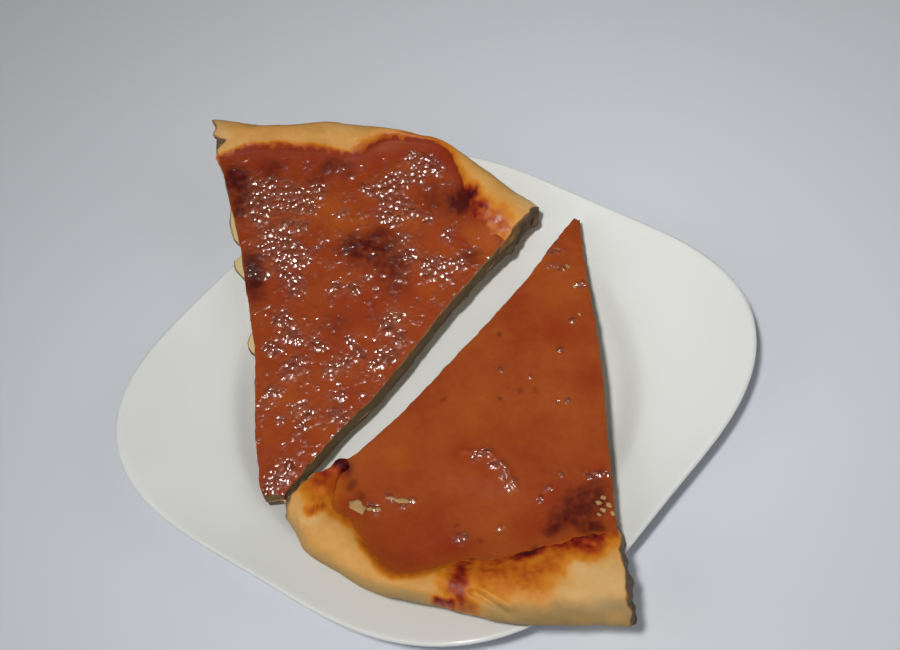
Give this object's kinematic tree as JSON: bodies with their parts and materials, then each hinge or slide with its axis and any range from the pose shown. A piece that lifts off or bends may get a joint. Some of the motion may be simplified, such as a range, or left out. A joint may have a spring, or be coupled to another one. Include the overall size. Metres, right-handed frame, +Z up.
{
  "type": "pumpkin pie slices on a plate",
  "caption": "Thin pumpkin pie cut into slices and lying point to crust across a small white plate: a pastry shell with a raised rim around dark baked custard.",
  "frame": {"origin": "middle of the whole part's footprint, level with the underside of the plate's foot ring", "axes": "+Z up out of the plate, +X along the plate's long diagonal, +Y away from the viewer of the reference picture"},
  "size_m": [0.2266, 0.2292, 0.0375],
  "materials": {
    "white_porcelain": "glazed, gloss",
    "baked_pastry": "baked, dry, satin",
    "pumpkin_custard": "set custard with a wet baked skin"
  },
  "bodies": {
    "root": {"plate": "white_porcelain", "slice_a_crust": "baked_pastry", "slice_a_filling": "pumpkin_custard", "slice_b_crust": "baked_pastry", "slice_b_filling": "pumpkin_custard"}
  },
  "joints": []
}
